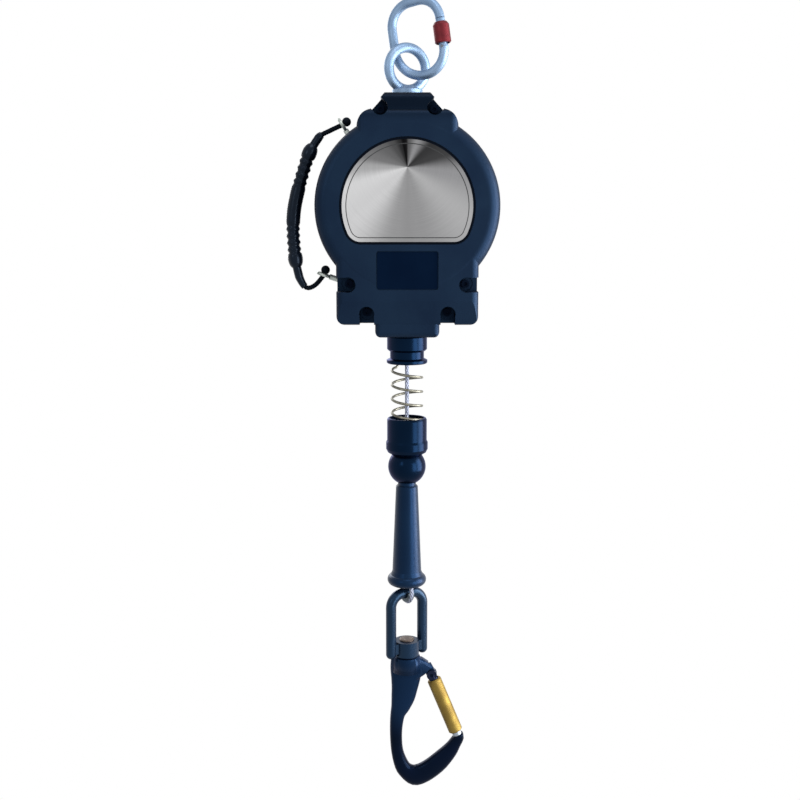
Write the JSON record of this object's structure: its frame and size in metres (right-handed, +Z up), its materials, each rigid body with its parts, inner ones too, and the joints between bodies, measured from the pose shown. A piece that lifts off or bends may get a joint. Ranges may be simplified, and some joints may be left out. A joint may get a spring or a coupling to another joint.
{
  "type": "self retracting lifeline",
  "caption": "Hanging fall arrester: a drum housing on a swivel eye and carabiner, carry handle, and a retracting wire with bumper, grip sleeve and swivel snap hook.",
  "frame": {"origin": "inside of the carabiner's top bow on the plumb line, where the anchor carries it", "axes": "+Z up along the plumb line, front face towards -Y, +X to the right"},
  "size_m": [0.2332, 0.084, 0.9023],
  "materials": {
    "zinc_steel": "bright zinc plate",
    "red_anodised": "red anodised",
    "navy_case": "satin navy powder coat",
    "navy_gloss": "gloss navy coat",
    "hook_black": "black-blue coated forging",
    "brushed_plate": "spin-brushed",
    "label_film": "bare dark film",
    "steel": "machined",
    "spring_steel": "oiled spring steel",
    "drum_alloy": "cast, turned",
    "bronze": "sintered bronze",
    "friction_lining": "moulded friction lining",
    "wire_rope": "galvanised wire rope",
    "guide_plastic": "moulded",
    "grip_rubber": "moulded rubber",
    "cord": "braided cord",
    "sleeve_navy": "moulded navy",
    "gold_anodised": "gold anodised"
  },
  "bodies": {
    "anchor_link": {"carabiner_body": "zinc_steel", "carabiner_gate_pin": "steel"},
    "link_gate": {"carabiner_gate": "zinc_steel"},
    "link_screw": {"carabiner_sleeve": "red_anodised"},
    "eye_group": {"swivel_eye": "zinc_steel", "eye_washer": "bronze", "eye_nut": "steel"},
    "housing": {"front_cover": "navy_case", "rear_cover": "navy_case", "face_plate": "brushed_plate", "label_plate": "label_film", "cover_bolts": "steel", "cover_nuts": "steel", "anchor_block": "steel", "front_load_plate": "steel", "rear_load_plate": "steel", "frame_rivets": "steel", "main_shaft": "steel", "shaft_nuts": "steel", "spring_arbor": "steel", "brake_pressure_plate": "steel", "brake_lining_front": "friction_lining", "brake_lining_rear": "friction_lining", "brake_disc_springs": "spring_steel", "nozzle": "navy_gloss", "guide_bush": "guide_plastic", "wire_inner_run": "wire_rope", "handle_eyelets": "zinc_steel"},
    "brake_ratchet": {"ratchet_disc": "steel"},
    "drum_group": {"drum": "drum_alloy", "drum_bushes": "bronze", "winding_core": "wire_rope", "wire_winding": "wire_rope", "spring_case": "drum_alloy", "case_screws": "steel", "power_spring": "spring_steel", "pawl_pins": "steel", "pawl_springs": "spring_steel"},
    "pawl_one": {"pawl_a": "steel"},
    "pawl_two": {"pawl_b": "steel"},
    "carry_handle": {"handle_cord": "cord", "cord_stops": "cord", "handle_grip": "grip_rubber"},
    "line_end": {"lifeline_wire": "wire_rope", "bumper_spring": "spring_steel", "spring_cup": "navy_gloss", "ball_stop": "navy_gloss", "grip_sleeve": "sleeve_navy", "wire_ferrule": "steel", "wire_eye": "wire_rope", "wire_thimble": "zinc_steel"},
    "bow_group": {"hook_bow": "navy_gloss", "swivel_washer": "bronze"},
    "hook_group": {"hook_body": "hook_black", "swivel_pin": "steel", "hook_gate_pin": "steel"},
    "gate_arm": {"hook_gate": "steel"},
    "gate_lock": {"hook_gate_sleeve": "gold_anodised"}
  },
  "joints": [
    {"name": "carabiner_gate_hinge", "type": "hinge", "parent": "anchor_link", "child": "link_gate", "pos_m": [0.0384, -0.02042, -0.04258], "axis": [-0.4695, -0.8829, 0], "range_deg": [0, 25], "stiffness_Nm_per_rad": 0.2, "springref_deg": -28.65},
    {"name": "carabiner_screw_slide", "type": "slide", "parent": "link_gate", "child": "link_screw", "axis": [0.1381, -0.0734, -0.9877], "range_m": [-0.007, 0]},
    {"name": "eye_swing", "type": "hinge", "parent": "anchor_link", "child": "eye_group", "pos_m": [0, 0, -0.04065], "axis": [0.4384, -0.8988, 0], "range_deg": [-15, 15]},
    {"name": "housing_swivel", "type": "hinge", "parent": "eye_group", "child": "housing", "pos_m": [0, 0, -0.10965], "axis": [0, 0, 1], "continuous": true},
    {"name": "lifeline_pull", "type": "slide", "parent": "housing", "child": "line_end", "axis": [0, 0, -1], "range_m": [0, 10], "stiffness_N_per_m": 3, "springref_m": -10, "deforming": ["lifeline_wire"]},
    {"name": "drum_spin", "type": "hinge", "parent": "housing", "child": "drum_group", "pos_m": [0, 0, -0.20965], "axis": [0, 1, 0], "continuous": true},
    {"name": "pawl_a_swing", "type": "hinge", "parent": "drum_group", "child": "pawl_one", "pos_m": [0.066, 0.023, -0.20965], "axis": [0, 1, 0], "range_deg": [0, 10], "stiffness_Nm_per_rad": 0.05, "springref_deg": -17.19},
    {"name": "pawl_b_swing", "type": "hinge", "parent": "drum_group", "child": "pawl_two", "pos_m": [-0.066, 0.023, -0.20965], "axis": [0, 1, 0], "range_deg": [0, 10], "stiffness_Nm_per_rad": 0.05, "springref_deg": -17.19},
    {"name": "brake_slip", "type": "hinge", "parent": "housing", "child": "brake_ratchet", "pos_m": [0, 0.023, -0.20965], "axis": [0, 1, 0], "continuous": true},
    {"name": "handle_swing", "type": "hinge", "parent": "housing", "child": "carry_handle", "pos_m": [-0.0705, -0.005, -0.12215], "axis": [0.132, 0, 0.9913], "range_deg": [-22, 22]},
    {"name": "hook_bow_swing", "type": "hinge", "parent": "line_end", "child": "bow_group", "pos_m": [0, 0, -0.65135], "axis": [0.866, 0.5, 0], "range_deg": [-40, 40]},
    {"name": "hook_swivel", "type": "hinge", "parent": "bow_group", "child": "hook_group", "pos_m": [0, 0, -0.72635], "axis": [0, 0, 1], "continuous": true},
    {"name": "hook_gate_hinge", "type": "hinge", "parent": "hook_group", "child": "gate_arm", "pos_m": [0.0294, 0, -0.75085], "axis": [0, 1, 0], "range_deg": [0, 28], "stiffness_Nm_per_rad": 0.2, "springref_deg": -34.38},
    {"name": "hook_lock_twist", "type": "hinge", "parent": "gate_arm", "child": "gate_lock", "pos_m": [0.04074, 0, -0.77863], "axis": [0.3778, 0, -0.9259], "range_deg": [0, 90], "stiffness_Nm_per_rad": 0.01, "springref_deg": -28.65}
  ],
  "couplings": [
    {"joint": "drum_spin", "follows": "lifeline_pull", "rad_per_m": 13.823}
  ]
}
